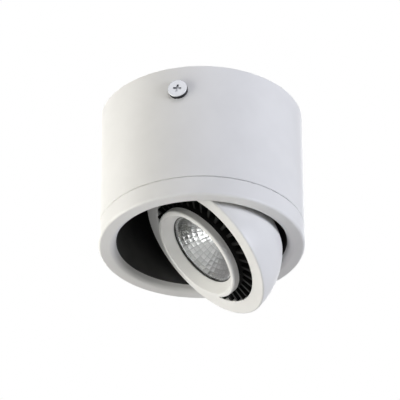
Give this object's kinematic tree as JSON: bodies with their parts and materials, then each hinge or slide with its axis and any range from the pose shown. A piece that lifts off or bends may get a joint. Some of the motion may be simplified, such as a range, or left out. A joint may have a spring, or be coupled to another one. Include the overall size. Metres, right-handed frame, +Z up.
{
  "type": "surface ceiling spotlight",
  "caption": "Round white surface-mounted ceiling spotlight: a short can whose bezel swivels, with a ball-shaped tilting lamp head, black cooling fins and a faceted reflector.",
  "frame": {"origin": "centre of the ceiling face, midway between the two ceiling screw slots", "axes": "+Z up into the ceiling, so the lamp hangs below z = 0; the bracket and the two side screws lie along Y, with the screw seen in the picture at -Y"},
  "size_m": [0.1, 0.1046, 0.0995],
  "materials": {
    "white_paint": "satin white powder coat",
    "cup_black": "matte black paint",
    "fin_black": "matte black anodising",
    "plated_sheet": "zinc-plated sheet",
    "bright_steel": "bright nickel plate",
    "screw_steel": "plain zinc plate",
    "spring_steel": "blued spring steel",
    "brass": "turned brass",
    "black_rubber": "matte rubber",
    "nylon": "natural nylon",
    "white_plastic": "fine moulded grain",
    "green_board": "solder resist",
    "yellow_tape": "winding tape",
    "black_sleeve": "heat-shrink sleeve",
    "lead_sheath": "wire insulation",
    "bare_aluminium": "white-masked aluminium board",
    "phosphor": "silicone with phosphor",
    "bright_reflector": "faceted bright reflector",
    "clear_glass": "clear flat glass"
  },
  "bodies": {
    "can": {"housing_tube": "white_paint", "ceiling_bracket": "plated_sheet", "divider_plate": "plated_sheet", "side_screws": "bright_steel", "divider_screws": "screw_steel", "driver_screws": "screw_steel", "terminal_fixing": "screw_steel", "stop_pin": "screw_steel", "earth_screw": "brass", "terminal_screws": "brass", "cable_grommet": "black_rubber", "stem_bush": "nylon", "driver_case": "white_plastic", "driver_lid": "white_plastic", "terminal_block": "white_plastic", "driver_board": "green_board", "driver_transformer": "yellow_tape", "driver_capacitors": "black_sleeve", "mains_leads": "lead_sheath"},
    "carrier": {"bezel_ring": "white_paint", "inner_cup": "cup_black", "cup_clip": "spring_steel", "glide_ring": "nylon", "swivel_stem": "brass", "thrust_washer": "nylon", "spring_washer": "spring_steel", "stem_nut": "brass", "shoe_bracket": "plated_sheet", "shoe_screws": "screw_steel", "outer_shoe": "nylon", "inner_shoe": "nylon", "clamp_screw": "screw_steel", "clamp_spring": "spring_steel", "clamp_nut": "screw_steel"},
    "head": {"face_ring": "white_paint", "head_bowl": "white_paint", "heat_sink": "fin_black", "sink_screws": "screw_steel", "lead_sleeve": "black_rubber", "arc_rail": "plated_sheet", "rail_screws": "screw_steel", "led_board": "bare_aluminium", "led_emitter": "phosphor", "led_holder": "nylon", "holder_screws": "screw_steel", "reflector": "bright_reflector", "lens_glass": "clear_glass", "lens_gasket": "black_rubber", "lens_ring": "white_paint"}
  },
  "joints": [
    {"name": "swivel", "type": "hinge", "parent": "can", "child": "carrier", "pos_m": [0, 0, -0.0287], "axis": [0, 0, 1], "range_deg": [-170, 170]},
    {"name": "tilt", "type": "hinge", "parent": "carrier", "child": "head", "pos_m": [0, 0, -0.0739], "axis": [-0.3689, 0.9295, 0], "range_deg": [-44.3, 30.7]}
  ]
}
